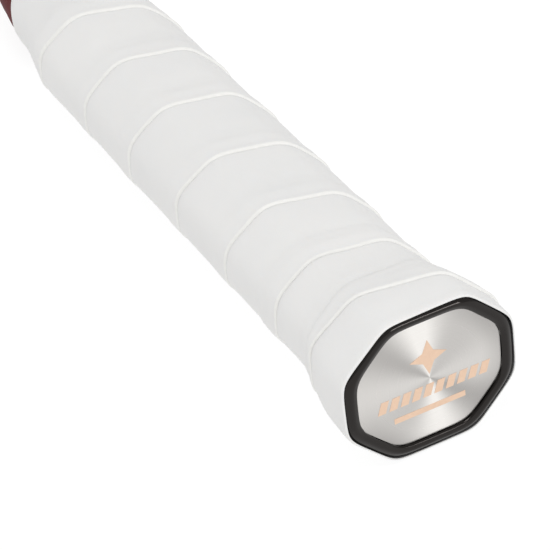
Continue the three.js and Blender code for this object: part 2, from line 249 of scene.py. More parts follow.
# The frame's section on one side of the middle plane: height, and distance in from its centreline.
FRAME_SECTION = [
    (0, -1.7),
    (2.1, -1.7),
    (2.25, -1.9),
    (2.3, -3.2),
    (2.5, -3.45),
    (3.2, -3.4),
    (4.0, -3.05),
    (4.65, -2.4),
    (5.05, -1.5),
    (5.2, -0.4),
    (5.17, 0.7),
    (4.95, 1.7),
    (4.45, 2.6),
    (3.6, 3.2),
    (2.4, 3.45),
    (1.2, 3.5),
    (0, 3.5),
]

# The T-joint's stem, as distance back from the throat and radius.
STEM_SECTION = [
    (27, 3.75),
    (27, 4.2),
    (26.6, 4.4),
    (20, 4.55),
    (12, 4.8),
    (8, 5),
    (5, 5.15),
    (3.4, 5.1),
    (2.4, 4.6),
    (2.4, 3.75),
]

# A grommet's barrel, as distance in from the frame's centreline and radius.
BARREL_SECTION = [
    (-2, 1),
    (3.6, 1),
    (3.6, 1.45),
    (3.95, 1.45),
    (4.1, 1.05),
    (4.5, 0.95),
    (4.5, 0.6),
    (3.4, 0.55),
]
# The two ends of a hole, as distance in from the frame's centreline.
HOLE_MOUTH = -1.9
BARREL_TIP = 4.5
# Half the section of the band that joins the barrels, as height and distance in, and how far along
# the centreline it starts, and goes on after the last hole.
BAND_SECTION = [(-1.85, -1.9), (-1.85, -2.25), (-1.7, -2.4)]
BAND_START = 7
BAND_PAST_LAST = 2

MAINS_PER_SIDE = 11
MAIN_PITCH = 8.5
CROSSES = 21
CROSS_PITCH = 9.6
STRING_RADIUS = 0.35
KNOT_STRING_RADIUS = 0.33
LAYER_HEIGHT = 0.45  # how far the mains lie above the middle plane at the frame, and crosses below
WEAVE = 0.34  # how far a string rises or falls where it crosses another
WEAVE_REACH = 0.9  # how far to either side of a crossing it stays risen
CROSSING_MARGIN = 2  # how far from a string's ends its first and last crossings can be
HOLE_MIN_PITCH = 4.6
THROAT_SLANT = 3.75  # how far the two middle holes at the throat slant outwards
TIE_OFFSET = 6  # from a string's last hole to the one that it is tied off in
LOOP_DEPTH = -2.9  # where a string runs round the frame, as distance in from the centreline
LOOP_BEND = 0.4  # how far a string keeps from the edges that it bends round

# The wedges of light and shade painted on the spun plate: angle, narrowness and weight.
PLATE_WEDGES = [
    (98, 14, 0.78),
    (278, 10, 0.72),
    (172, 8, 0.18),
    (352, 8, 0.16),
    (135, 16, -0.3),
    (313, 14, -0.4),
]
# The shade of the black rim, painted on the plate beside it, in the same terms.
RIM_SHADES = [(25, 2, 0.3), (232, 6, 0.3)]


# ---- Helpers ----

def add_object(name, data):
    """An object made from its data and shown in the scene."""
    made = bpy.data.objects.new(name, data)
    bpy.context.scene.collection.objects.link(made)
    return made


def add_piece(name, vertices, faces, materials, replaces=(), smooth=True):
    """A mesh piece of the racket, from vertices in millimetres."""
    mesh = bpy.data.meshes.new(name)
    mesh.from_pydata((np.asarray(vertices) * MM).tolist(), [], faces)
    shape = bmesh.new()
    shape.from_mesh(mesh)
    bmesh.ops.recalc_face_normals(shape, faces=shape.faces)
    shape.to_mesh(mesh)
    shape.free()
    for material in materials:
        mesh.materials.append(material)
    mesh.polygons.foreach_set("use_smooth", [smooth] * len(mesh.polygons))
    piece = add_object(name, mesh)
    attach(piece, "root")
    if replaces:
        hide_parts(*replaces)
    return piece


def grid_faces(rows, columns, closed_rows=False, closed_columns=False):
    """The quads of a grid of vertices stored row by row."""
    faces = []
    for row in range(rows if closed_rows else rows - 1):
        for column in range(columns if closed_columns else columns - 1):
            here = row * columns
            there = (row + 1) % rows * columns
            after = (column + 1) % columns
            faces.append((here + column, here + after, there + after, there + column))
    return faces


def octagon(angles, sharpness, roundness=0):
    """The radius of the handle's outline at each angle. Roundness 1 is a circle."""
    total = 0
    for facing, distance in OCTAGON_FACES:
        total = total + np.abs(np.cos(angles - math.radians(facing)) / distance) ** sharpness
    return total ** (-1 / sharpness) * (1 - roundness) + roundness


def around_handle(angles, radius, along):
    """Points round the handle's axis, at an angle from +X towards +Z."""
    along = along + 0 * angles
    return np.stack([radius * np.cos(angles), along, radius * np.sin(angles)], axis=-1)


def ring_angles(sides=160):
    """The angles of a ring's points."""
    return np.arange(sides) * TURN / sides


def add_rings(name, rings, materials, replaces=()):
    """A closed piece over rings of points, whose last ring joins the first."""
    faces = grid_faces(len(rings), len(rings[0]), closed_rows=True, closed_columns=True)
    add_piece(name, np.concatenate(rings), faces, materials, replaces)


def loft(name, stations, materials, replaces=(), sides=160):
    """A piece through stations of distance, half-width, sharpness and roundness."""
    angles = ring_angles(sides)
    rings = []
    for along, half_width, sharpness, roundness in stations:
        radius = half_width * octagon(angles, sharpness, roundness)
        rings.append(around_handle(angles, radius, along))
    add_rings(name, rings, materials, replaces)


def round_stations(section):
    """The stations of a round piece, from its section as distance and radius."""
    return [(along, radius, END_SHARPNESS, 1) for along, radius in section]


def handle_roundness(along):
    """How round the handle's outline is at a distance from the butt."""
    return np.interp(along, ROUNDNESS_PLACES, ROUNDNESS)


# ---- Material nodes ----

class Nodes:
    """A new material with a Principled surface, and short ways to add nodes to it."""

    def __init__(self, name, color, roughness, metallic=0.0):
        self.material = bpy.data.materials.new(name)
        self.material.use_nodes = True
        self.tree = self.material.node_tree
        self.shader = self.tree.nodes["Principled BSDF"]
        self.shader.inputs["Base Color"].default_value = (*color, 1)
        self.shader.inputs["Roughness"].default_value = roughness
        self.shader.inputs["Metallic"].default_value = metallic
        self.material.diffuse_color = (*color, 1)

    def add(self, kind, **settings):
        node = self.tree.nodes.new(kind)
        for key, value in settings.items():
            setattr(node, key, value)
        return node

    def link(self, output, node, name):
        self.tree.links.new(output, node.inputs[name])

    def place(self):
        """The place on the object, in metres."""
        return self.add("ShaderNodeTexCoord").outputs["Object"]

    def noise(self, scale, detail=4, stretch=(1, 1, 1)):
        """Cloudy noise from 0 to 1, with so many clouds to a metre."""
        mapping = self.add("ShaderNodeMapping")
        mapping.inputs["Scale"].default_value = stretch
        self.link(self.place(), mapping, "Vector")
        node = self.add("ShaderNodeTexNoise")
        node.inputs["Scale"].default_value = scale
        node.inputs["Detail"].default_value = detail
        self.link(mapping.outputs[0], node, "Vector")
        return node.outputs["Fac"]

    def math(self, operation, first, second=0.0):
        node = self.add("ShaderNodeMath", operation=operation)
        for socket, value in zip(node.inputs, (first, second)):
            if isinstance(value, (int, float)):
                socket.default_value = value
            else:
                self.tree.links.new(value, socket)
        return node.outputs[0]

    def ramp(self, factor, low, high):
        """A value from low to high as the factor goes from 0 to 1."""
        node = self.add("ShaderNodeMapRange")
        node.inputs["To Min"].default_value = low
        node.inputs["To Max"].default_value = high
        self.link(factor, node, "Value")
        return node.outputs[0]

    def mix(self, factor, first, second):
        """A colour from first to second. Each is a colour or a colour output."""
        node = self.add("ShaderNodeMix", data_type="RGBA")
        self.link(factor, node, "Factor")
        for socket, value in ((node.inputs[6], first), (node.inputs[7], second)):
            if isinstance(value, tuple):
                socket.default_value = (*value, 1)
            else:
                self.tree.links.new(value, socket)
        return node.outputs[2]

    def bump(self, height, distance, strength=1.0):
        """Adds a bump, in metres, on top of those added before."""
        node = self.add("ShaderNodeBump")
        node.inputs["Strength"].default_value = strength
        node.inputs["Distance"].default_value = distance
        self.link(height, node, "Height")
        earlier = self.shader.inputs["Normal"].links
        if earlier:
            self.link(earlier[0].from_socket, node, "Normal")
        self.link(node.outputs[0], self.shader, "Normal")

    def occlusion_shade(self, reach):
        """Occlusion, which falls below 1 in folds and beside ledges within a reach in metres. It is
        used to paint shade into a colour.
        """
        node = self.add("ShaderNodeAmbientOcclusion", samples=12)
        node.inputs["Distance"].default_value = reach
        return node.outputs["AO"]

    def coat(self, weight, roughness):
        self.shader.inputs["Coat Weight"].default_value = weight
        self.shader.inputs["Coat Roughness"].default_value = roughness


def grip_material():
    """Soft white polyurethane with a cloudy tone and a fine matt grain, and shade painted into its
    folds and beside its ledges.
    """
    n = Nodes("white_polyurethane", (0.84, 0.835, 0.825), 0.55)
    tone = n.mix(n.noise(55, 3), (0.81, 0.81, 0.805), (0.87, 0.862, 0.848))
    # painted shade: the colour darkens towards grey where occlusion falls in folds and beside the
    # tape's lips
    n.link(n.mix(n.occlusion_shade(0.003), (0.35, 0.35, 0.35), tone), n.shader, "Base Color")
    n.link(n.ramp(n.noise(400, 2), 0.5, 0.64), n.shader, "Roughness")
    n.shader.inputs["Subsurface Weight"].default_value = 0.15
    n.shader.inputs["Subsurface Radius"].default_value = (0.0012, 0.0011, 0.001)
    n.shader.inputs["Specular IOR Level"].default_value = 0.15
    n.bump(n.noise(120, 2), 0.0005, 0.5)
    n.bump(n.noise(2600, 3), 0.00004, 0.5)
    return n.material


def tape_edge_material():
    """The cut edge of the tape: creamier and open-pored, and a little lighter than the face, which
    paints in part of the lip's highlight.
    """
    n = Nodes("tape_cut_edge", (0.93, 0.91, 0.86), 0.7)
    # the cream is the cut foam's own colour; its extra lightness over the face is partly a painted
    # highlight on the lip
    n.link(n.mix(n.noise(900, 3), (0.84, 0.835, 0.81), (0.92, 0.915, 0.89)), n.shader, "Base Color")
    n.bump(n.noise(3000, 2), 0.00004, 0.6)
    return n.material


def black_plastic_material():
    """Glossy moulded plastic with a faint flow unevenness."""
    n = Nodes("black_plastic", (0.003, 0.0025, 0.0022), 0.1)
    n.shader.inputs["Specular IOR Level"].default_value = 0.35
    n.shader.inputs["Specular Tint"].default_value = (1, 0.92, 0.88, 1)
    n.link(n.ramp(n.noise(300, 4), 0.08, 0.13), n.shader, "Roughness")
    tone = n.mix(n.noise(90, 3), (0.002, 0.0017, 0.0015), (0.005, 0.0042, 0.0038))
    n.link(tone, n.shader, "Base Color")
    n.bump(n.noise(700, 3), 0.00002, 0.4)
    return n.material


def polar(n):
    """The angle and the distance round the handle's axis at a point of the end plate."""
    axes = n.add("ShaderNodeSeparateXYZ")
    n.link(n.place(), axes, "Vector")
    angle = n.math("ARCTAN2", axes.outputs["Z"], axes.outputs["X"])
    across = n.math("POWER", axes.outputs["X"], 2)
    upright = n.math("POWER", axes.outputs["Z"], 2)
    return angle, n.math("SQRT", n.math("ADD", across, upright))


def wedge(n, angle, centre, narrowness, weight):
    """A soft wedge that has its weight at one angle and falls to 0 a quarter turn away."""
    turned = n.math("COSINE", n.math("SUBTRACT", angle, math.radians(centre)))
    share = n.math("POWER", n.math("MAXIMUM", turned, 0.0), narrowness)
    return n.math("MULTIPLY", share, weight)


def spun_aluminium_material():
    """Aluminium turned on a lathe. The wedges of light and shade that its fine rings would reflect,
    and the shade of the black rim beside it, are painted in its colour at fixed angles, so they stay
    in place from every side."""
    n = Nodes("spun_aluminium", (0.72, 0.71, 0.7), 0.3, 1.0)
    angle, distance = polar(n)
    # painted light and shade: the plate's tone, raised in the wedges of light and lowered in those of
    # shade
    bright = 0.32
    for sector in PLATE_WEDGES:
        bright = n.math("ADD", wedge(n, angle, *sector), bright)
    # painted shade of the black rim, on the plate near its edge
    near_rim = n.add("ShaderNodeMapRange", interpolation_type="SMOOTHSTEP")
    near_rim.inputs["From Min"].default_value = 0.0095
    near_rim.inputs["From Max"].default_value = 0.0138
    n.link(distance, near_rim, "Value")
    for sector in RIM_SHADES:
        shade = n.math("MULTIPLY", wedge(n, angle, *sector), near_rim.outputs[0])
        bright = n.math("SUBTRACT", bright, shade)
    bright = n.math("MAXIMUM", n.math("MINIMUM", bright, 1.0), 0.0)
    tone = n.mix(bright, (0.42, 0.405, 0.39), (0.95, 0.925, 0.89))
    rings = n.add("ShaderNodeTexNoise", noise_dimensions="1D")
    rings.inputs["Scale"].default_value = 9000
    rings.inputs["Detail"].default_value = 2
    n.link(distance, rings, "W")
    tone = n.mix(n.ramp(rings.outputs["Fac"], 0, 0.22), tone, (0.35, 0.345, 0.34))
    n.link(tone, n.shader, "Base Color")
    n.link(n.ramp(rings.outputs["Fac"], 0.24, 0.36), n.shader, "Roughness")
    n.shader.inputs["Anisotropic"].default_value = 0.7
    tangent = n.add("ShaderNodeTangent", direction_type="RADIAL", axis="Y")
    n.link(tangent.outputs[0], n.shader, "Tangent")
    n.bump(rings.outputs["Fac"], 0.000004, 0.5)
    return n.material


def copper_print_material():
    """A thin matt copper-coloured print."""
    n = Nodes("copper_print", (0.8, 0.56, 0.4), 0.42, 0.25)
    n.link(n.mix(n.noise(1500, 3), (0.76, 0.53, 0.38), (0.86, 0.62, 0.46)), n.shader, "Base Color")
    n.bump(n.noise(4000, 2), 0.000005, 0.5)
    return n.material


def coloured_material(name, dark, light, roughness, coat=0.6, specular=0.5):
    """A coated, moulded or vinyl finish whose colour and gloss vary a little."""
    n = Nodes(name, dark, roughness)
    n.link(n.mix(n.noise(160, 4), dark, light), n.shader, "Base Color")
    n.link(n.ramp(n.noise(480, 3), roughness * 0.85, roughness * 1.25), n.shader, "Roughness")
    n.shader.inputs["Specular IOR Level"].default_value = specular
    n.coat(coat, 0.06)
    n.bump(n.noise(1280, 3), 0.000015, 0.4)
    return n.material


def graphite_material():
    """Dark lacquered graphite with its wound fibres just visible."""
    n = Nodes("graphite", (0.02, 0.021, 0.025), 0.25)
    fibres = n.noise(900, 4, stretch=(4, 0.12, 4))
    n.link(n.mix(fibres, (0.012, 0.012, 0.015), (0.05, 0.05, 0.056)), n.shader, "Base Color")
    n.link(n.ramp(fibres, 0.22, 0.34), n.shader, "Roughness")
    n.coat(0.8, 0.05)
    return n.material


def head_lacquer_material():
    """Dark red lacquer that fades to black at the sides of the head."""
    n = Nodes("dark_red_lacquer", (0.16, 0.008, 0.014), 0.22)
    red = n.mix(n.noise(200, 4), (0.14, 0.006, 0.012), (0.2, 0.012, 0.02))
    axes = n.add("ShaderNodeSeparateXYZ")
    n.link(n.place(), axes, "Vector")
    from_centre = n.math("ABSOLUTE", n.math("SUBTRACT", axes.outputs["Y"], HEAD_CENTRE * MM))
    fade = n.add("ShaderNodeMapRange", interpolation_type="SMOOTHSTEP")
    fade.inputs["From Min"].default_value = 0.028
    fade.inputs["From Max"].default_value = 0.05
    n.link(from_centre, fade, "Value")
    n.link(n.mix(fade.outputs[0], (0.012, 0.012, 0.014), red), n.shader, "Base Color")
    n.link(n.ramp(n.noise(500, 3), 0.17, 0.27), n.shader, "Roughness")
    n.coat(1.0, 0.04)
    n.bump(n.noise(900, 3), 0.00001, 0.4)
    return n.material


def black_nylon_material():
    """Moulded nylon with a fine matt grain."""
    n = Nodes("black_nylon", (0.014, 0.014, 0.015), 0.5)
    n.link(n.mix(n.noise(500, 3), (0.01, 0.01, 0.011), (0.024, 0.024, 0.025)), n.shader, "Base Color")
    n.bump(n.noise(3000, 3), 0.00002, 0.5)
    return n.material


def string_material():
    """Coated multifilament string with its fibres spiralling under the coat."""
    n = Nodes("string_nylon", (0.86, 0.84, 0.76), 0.35)
    n.link(n.mix(n.noise(1800, 3), (0.8, 0.77, 0.68), (0.92, 0.9, 0.83)), n.shader, "Base Color")
    n.shader.inputs["Subsurface Weight"].default_value = 0.2
    n.shader.inputs["Subsurface Radius"].default_value = (0.0004, 0.0004, 0.0003)
    n.bump(n.noise(5000, 2), 0.00002, 0.5)
    return n.material


def wood_material():
    """Pale planed wood with its grain along the handle."""
    n = Nodes("handle_wood", (0.58, 0.4, 0.2), 0.65)
    grain = n.noise(500, 6, stretch=(1, 0.05, 1))
    n.link(n.mix(grain, (0.42, 0.26, 0.12), (0.68, 0.48, 0.27)), n.shader, "Base Color")
    n.bump(grain, 0.0001, 0.6)
    return n.material


def foam_material():
    """Closed-cell adhesive foam."""
    n = Nodes("adhesive_foam", (0.66, 0.6, 0.48), 0.9)
    n.link(n.mix(n.noise(1200, 4), (0.55, 0.5, 0.4), (0.74, 0.69, 0.57)), n.shader, "Base Color")
    n.bump(n.noise(2500, 4), 0.0001, 0.8)
    return n.material


def zinc_material():
    """Zinc plate with its cloudy crystals."""
    n = Nodes("zinc_steel", (0.5, 0.52, 0.54), 0.35, 1.0)
    n.link(n.mix(n.noise(700, 4), (0.4, 0.42, 0.44), (0.62, 0.63, 0.64)), n.shader, "Base Color")
    n.link(n.ramp(n.noise(900, 3), 0.25, 0.45), n.shader, "Roughness")
    return n.material


WHITE_GRIP = grip_material()
TAPE_EDGE = tape_edge_material()
BLACK_PLASTIC = black_plastic_material()
SPUN_ALUMINIUM = spun_aluminium_material()
COPPER_PRINT = copper_print_material()
RED_TAPE = coloured_material(
    "dark_red_tape", (0.1, 0.018, 0.02), (0.14, 0.027, 0.028), 0.55, coat=0, specular=0.05)
RED_PLASTIC = coloured_material("dark_red_plastic", (0.1, 0.01, 0.014), (0.15, 0.018, 0.022), 0.2)
COPPER_RING = coloured_material("copper_ring", (0.5, 0.27, 0.15), (0.6, 0.34, 0.2), 0.3)
GRAPHITE = graphite_material()
HEAD_LACQUER = head_lacquer_material()
BLACK_NYLON = black_nylon_material()
STRING = string_material()


# ---- Camera, floor and light ----

def make_camera():
    """The camera at the butt end, above and to the left of the handle."""
    data = bpy.data.cameras.new("camera")
    data.lens = CAMERA_LENS
    data.sensor_width = 36
    data.clip_start = 0.01
    data.clip_end = 100
    camera = add_object("camera", data)
    look = Vector(CAMERA_LOOK).normalized()
    right = look.cross(Vector(CAMERA_UP)).normalized()
    turned = Matrix((right, right.cross(look), -look)).transposed().to_4x4()
    camera.matrix_world = Matrix.Translation(CAMERA_PLACE) @ turned
    bpy.context.scene.camera = camera


def make_floor():
    """A wide, faintly tilted floor under the butt's flare and the tip of the head. It gives off
    light of its own, so that it looks white."""
    flare_place, flare_height = 3, -14.75
    tip_place, tip_height = 674, -5.25
    slope = (tip_height - flare_height) / (tip_place - flare_place)
    half_size = 9000
    corners = []
    for x, y in ((-1, -1), (1, -1), (1, 1), (-1, 1)):
        along = y * half_size
        height = flare_height + slope * (along - flare_place)
        corners.append((x * half_size * MM, along * MM, height * MM))
    mesh = bpy.data.meshes.new("floor")
    mesh.from_pydata(corners, [], [(0, 1, 2, 3)])
    n = Nodes("floor_paper", (0.12, 0.12, 0.12), 0.9)
    tone = n.mix(n.noise(3, 2), (0.115, 0.115, 0.115), (0.125, 0.125, 0.125))
    n.link(tone, n.shader, "Base Color")
    n.shader.inputs["Emission Color"].default_value = (1, 1, 1, 1)
    n.shader.inputs["Emission Strength"].default_value = 0.9
    mesh.materials.append(n.material)
    add_object("floor", mesh)


def make_light(name, place, target, size, power):
    """A soft rectangular light that shines from a place towards a target, in metres."""
    data = bpy.data.lights.new(name, "AREA")
    data.shape = "RECTANGLE"
    data.size, data.size_y = size
    data.energy = power
    light = add_object(name, data)
    light.visible_camera = False
    light.location = place
    light.rotation_mode = "QUATERNION"
    aim = Vector(target) - Vector(place)
    light.rotation_quaternion = aim.to_track_quat("-Z", "Y")


def make_world():
    """White light from all round."""
    world = bpy.data.worlds.new("studio")
    bpy.context.scene.world = world
    world.use_nodes = True
    background = world.node_tree.nodes["Background"]
    background.inputs["Color"].default_value = (1, 1, 1, 1)
    background.inputs["Strength"].default_value = 0.56


def make_stage():
    make_camera()
    make_floor()
    make_world()
    make_light("key", (-0.25, -0.35, 1.55), (0, 0.1, 0), (0.6, 0.6), 11)
    make_light("front_box", (0.42, -1.1, 0.16), (0, 0, 0), (0.5, 0.13), 2)
    view = bpy.context.scene.view_settings
    view.view_transform = "Standard"
    view.look = "None"


# ---- The grip tape ----

def seam_place(turns):
    """Distance from the butt after some turns of the helix, with its bends eased."""
    counts, places = zip(*TAPE_SEAMS)
    total = 0
    for shift in np.linspace(-0.1, 0.1, 7):
        total = total + np.interp(turns + shift, counts, places)
    return total / 7


def tape_profile(along):
    """The half-width outside one layer of tape, with its corners eased."""
    places, widths = zip(*TAPE_PROFILE)
    total = 0
    for shift in np.linspace(-0.5, 0.5, 7):
        total = total + np.interp(along + shift, places, widths)
    return total / 7


def soft_unevenness(angles, along):
    """Slow swells of a hand-wound surface, in millimetres."""
    swells = np.sin(3 * angles + along / 9) * 0.05
    swells = swells + np.sin(5 * angles - along / 5.3 + 1) * 0.035
    swells = swells + np.sin(2 * angles + along / 3.1 + 2.5) * 0.025
    return swells


def bulge(angles, centre, reach):
    """A smooth bulge of 1 at an angle in degrees, down to about a third at a reach in radians."""
    return np.exp(-(((np.mod(angles, TURN) - math.radians(centre)) / reach) ** 2))


def tape_end(angles):
    """Where the tape ends: it is cut back on a slant at the handle's left."""
    return TAPE_END - SLANT_DEPTH * bulge(angles, SLANT_ANGLE, math.radians(SLANT_REACH))


def tape_radius(angles, along, lift):
    """The radius of the tape's surface, lifted over one layer by so many millimetres."""
    fade = np.clip((along - TAPE_FRONT) / 4, 0, 1)
    half_width = tape_profile(along) + (lift + soft_unevenness(angles, along)) * fade
    sharpness = np.interp(along, [0, 14, 24], [24, 18, 13])
    return half_width * octagon(angles, sharpness, handle_roundness(along))


def smooth_fall(values, start, end):
    """Falls smoothly from 1 to 0 as the values go from start to end."""
    share = np.clip((values - start) / (end - start), 0, 1)
    return 1 - share * share * (3 - 2 * share)


def fold_height(turns):
    """How far the tape bulges over the hidden edge below it: most just past the butt cap."""
    return 0.04 + 0.15 * np.exp(-(((turns - 2) / 0.4) ** 2))


def make_grip_tape():
    """One ribbon wound from the butt to the cone, each turn over the edge of the one before."""
    steps_per_turn = 150
    turns = np.arange(-2 * steps_per_turn, 9 * steps_per_turn) / steps_per_turn
    across = np.array([place for place, height in TAPE_SECTION])
    lift = np.array([height for place, height in TAPE_SECTION])
    angles = math.radians(SEAM_ANGLE) + TURN * turns[:, None]
    along = seam_place(turns[:, None] + across[None, :])
    ridge = smooth_fall(across, 0.3, 0.38)
    hollow = 0.5 * np.exp(-(((across - 0.41) / 0.05) ** 2))
    fold = (ridge - hollow) * smooth_fall(-across, -0.12, 0) * fold_height(turns[:, None])
    wave = np.sin(7 * angles) * 0.12 + np.sin(4.3 * angles) * 0.16
    near_edge = across < 0.15
    along = along + wave * near_edge
    last = tape_end(angles) - WINDING_SHORT
    held = np.clip(along, TAPE_FRONT, last)
    flattened = 1 - 0.6 * bulge(angles, 195, 0.45)
    radius = tape_radius(angles, held, lift[None, :] * flattened + fold)
    vertices = around_handle(angles + 0 * held, radius, held).reshape(-1, 3)
    outside = ((along < TAPE_FRONT) | (along > last)).reshape(-1)
    faces = []
    for face in grid_faces(len(turns), len(across)):
        if not all(outside[corner] for corner in face):
            faces.append(face)
    piece = add_piece("grip_tape_winding", vertices, faces, [WHITE_GRIP, TAPE_EDGE],
                      ["grip_tape"])
    for polygon in piece.data.polygons:
        column = min(corner % len(across) for corner in polygon.vertices)
        polygon.material_index = 1 if column < EDGE_COLUMNS else 0


def make_tape_ends():
    """The front of the tape, which laps onto the rim most at its upper left, and its end."""
    angles = ring_angles()
    lap = bulge(angles, 117, 0.5) - 0.8 * bulge(angles, 172, 0.45)
    rings = []
    for along, inset, share in TAPE_FRONT_SECTION:
        half_width = tape_profile(max(along, 0)) - inset - LAP_INSET * lap * share
        radius = half_width * octagon(angles, FRONT_SHARPNESS)
        rings.append(around_handle(angles, radius, along - LAP_FORWARD * lap * share))
    add_rings("grip_tape_front", rings, [WHITE_GRIP])
    rings = []
    for back, inset in TAPE_END_SECTION:
        along = tape_end(angles) - back
        outline = octagon(angles, END_SHARPNESS, handle_roundness(along))
        rings.append(around_handle(angles, (tape_profile(along) - inset) * outline, along))
    add_rings("grip_tape_end", rings, [WHITE_GRIP])


# ---- The butt cap and its plate ----

def make_butt_cap():
    """The cap with its rounded rim round the plate, and its flare under the tape."""
    stations = [(along, half_width, CAP_SHARPNESS, 0) for along, half_width in RIM_SECTION]
    loft("butt_cap_rim", stations, [BLACK_PLASTIC], ["butt_cap"])


def plate_shape(name, outline, centre=(0, 0)):
    """A thin printed shape on the end plate, from an outline in X and Z."""
    count = len(outline)
    vertices = []
    for along in (-0.035, 0.01):
        for x, z in outline:
            vertices.append((centre[0] + x, along, centre[1] + z))
    faces = [tuple(range(count)), tuple(range(2 * count - 1, count - 1, -1))]
    for i in range(count):
        after = (i + 1) % count
        faces.append((i, after, count + after, count + i))
    add_piece(name, vertices, faces, [COPPER_PRINT], smooth=False)


def make_ornament():
    """A plain ornament: a four-pointed star over a row of slanted dashes and a bar."""
    star = []
    for i, angle in enumerate(ring_angles(8)):
        reach = 3.5 if i % 2 == 0 else 1.5
        star.append((reach * math.sin(angle), reach * math.cos(angle)))
    plate_shape("ornament_star", star, (0, 4.3))
    dash = [(-1.15, -1.2), (0.35, -1.2), (1.15, 1.2), (-0.35, 1.2)]
    dash_pitch = 2.15
    for i in range(10):
        plate_shape(f"ornament_dash_{i}", dash, ((i - 4) * dash_pitch - 0.4, -2.4))
    bar = [(-6.8, -0.55), (6.8, -0.55), (6.8, 0.55), (-6.8, 0.55)]
    plate_shape("ornament_bar", bar, (-0.4, -6.1))


def dress_cad_nodes():
    """Materials for the CAD nodes that stay as they are."""
    nodes = {
        "end_plate": SPUN_ALUMINIUM,
        "plate_adhesive_pad": foam_material(),
        "cap_screw_left": zinc_material(),
        "cap_screw_right": zinc_material(),
        "handle_core": wood_material(),
    }
    for name, material in nodes.items():
        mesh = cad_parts[name].data
        mesh.materials.clear()
        mesh.materials.append(material)


# ---- The cone and the shaft ----

def make_finishing_tape():
    """A band of dark red tape that closes the end of the grip, with its own lapped edge."""
    stations = []
    for along, half_width in FINISHING_BAND:
        stations.append((along, half_width, END_SHARPNESS, handle_roundness(along)))
    loft("finishing_tape_band", stations, [RED_TAPE], ["finishing_tape"])


def make_cone():
    """The moulded cone that narrows from the grip to the shaft, with a ring at its mouth."""
    stations = round_stations([(CONE_START, CONE_BORE)])
    stations += [(CONE_START, 9.2, END_SHARPNESS, 0.6), (153, 8.9, END_SHARPNESS, 0.8)]
    section = [(158, 8.2), (169, 6.7)]
    start, end = CONE_NARROWS
    for along in np.linspace(start, end, 14):
        share = math.sin((along - start) / (end - start) * math.pi / 2) ** 0.9
        section.append((along, CONE_RADIUS + (CONE_MOUTH_RADIUS - CONE_RADIUS) * share))
    section += [(195, CONE_MOUTH_RADIUS), (195.7, 4.4), (196, 4.15), (196, CONE_BORE)]
    stations += round_stations(section)
    loft("handle_cone", stations, [RED_PLASTIC], ["cone"], sides=96)


def tube_stations(start, end, outer, inner):
    """A plain tube with slightly rounded ends."""
    rounding = 0.15
    section = [(start, outer - rounding), (start + rounding, outer), (end - rounding, outer)]
    section += [(end, outer - rounding), (end, inner), (start, inner)]
    return round_stations(section)


def make_shaft():
    """The slim graphite tube, with copper-coloured rings near both ends of what shows."""
    tube = tube_stations(*SHAFT_ENDS, SHAFT_RADIUS, SHAFT_BORE)
    loft("shaft_tube", tube, [GRAPHITE], ["shaft"], sides=64)
    for name, start, end in SHAFT_RINGS:
        ring = tube_stations(start, end, SHAFT_RING_RADIUS, 3.5)
        loft(f"shaft_ring_{name}", ring, [COPPER_RING], sides=64)


# ---- The head ----

def head_table():
    """Points close together along the frame's centreline from the throat, and their distances."""
    angles = np.linspace(-math.pi / 2, 1.5 * math.pi, 8001)
    cos, sin = np.cos(angles), np.sin(angles)
    power = np.where(sin > 0, TOP_POWER, BOTTOM_POWER)
    x = HEAD_HALF_WIDTH * np.sign(cos) * np.abs(cos) ** power
    y = HEAD_CENTRE + HEAD_HALF_HEIGHT * np.sign(sin) * np.abs(sin) ** power
    distances = np.concatenate([[0], np.cumsum(np.hypot(np.diff(x), np.diff(y)))])
    return x, y, distances


HEAD_X, HEAD_Y, HEAD_DISTANCE = head_table()
PERIMETER = HEAD_DISTANCE[-1]


def head_centre(along):
    along = np.mod(along, PERIMETER)
    return np.interp(along, HEAD_DISTANCE, HEAD_X), np.interp(along, HEAD_DISTANCE, HEAD_Y)


def on_head(along, inward, up):
    """Points at a distance along the centreline, moved inwards and up."""
    x, y = head_centre(along)
    x_before, y_before = head_centre(along - 0.5)
    x_after, y_after = head_centre(along + 0.5)
    dx, dy = x_after - x_before, y_after - y_before
    length = np.hypot(dx, dy)
    return np.stack([x - dy / length * inward, y + dx / length * inward, up + 0 * x], axis=-1)


def frame_outline():
    """The frame's whole section, from its upper side and the mirrored lower one."""
    upper = FRAME_SECTION
    lower = [(-up, inward) for up, inward in reversed(FRAME_SECTION[1:-1])]
    return upper + lower


def sweep_on_head(name, outline, start, end, step, material, slot, replaces=()):
    """A solid with one section, swept along an arc of the head and closed at both ends."""
    places = np.linspace(start, end, max(2, int((end - start) / step)))
    rings = []
    for place in places:
        rings.append(np.array([on_head(place, inward, up) for up, inward in outline]))
    count = len(outline)
    faces = grid_faces(len(rings), count, closed_columns=True)
    last = (len(rings) - 1) * count
    faces.append(tuple(range(count)))
    faces.append(tuple(range(last, last + count)))
    add_piece(name, np.concatenate(rings), faces, [material], replaces)


def make_frame():
    """The hoop, and the T-joint that closes it at the throat and holds the shaft."""
    outline = frame_outline()
    hoop_start = JOINT_HALF_SPAN + JOINT_HALF_SEAM
    hoop = (hoop_start, PERIMETER - hoop_start, 2.4)
    sweep_on_head("head_hoop", outline, *hoop, HEAD_LACQUER, "dark_red_lacquer", ["head_frame"])
    joint_end = JOINT_HALF_SPAN - JOINT_HALF_SEAM
    arms = (-joint_end, joint_end, 1.5)
    sweep_on_head("t_joint_arms", outline, *arms, HEAD_LACQUER, "dark_red_lacquer", ["t_joint"])
    throat = HEAD_CENTRE - HEAD_HALF_HEIGHT
    stem = round_stations([(throat - back, radius) for back, radius in STEM_SECTION])
    loft("t_joint_stem", stem, [HEAD_LACQUER], sides=64)


# ---- String holes ----

def find_along(axis, value, low, high):
    """Where the inner end of a hole reaches a value of X (axis 0) or Y (axis 1)."""
    places = np.linspace(low, high, 4000)
    ends = on_head(places, BARREL_TIP, 0)[:, axis]
    return float(places[np.argmin(np.abs(ends - value))])


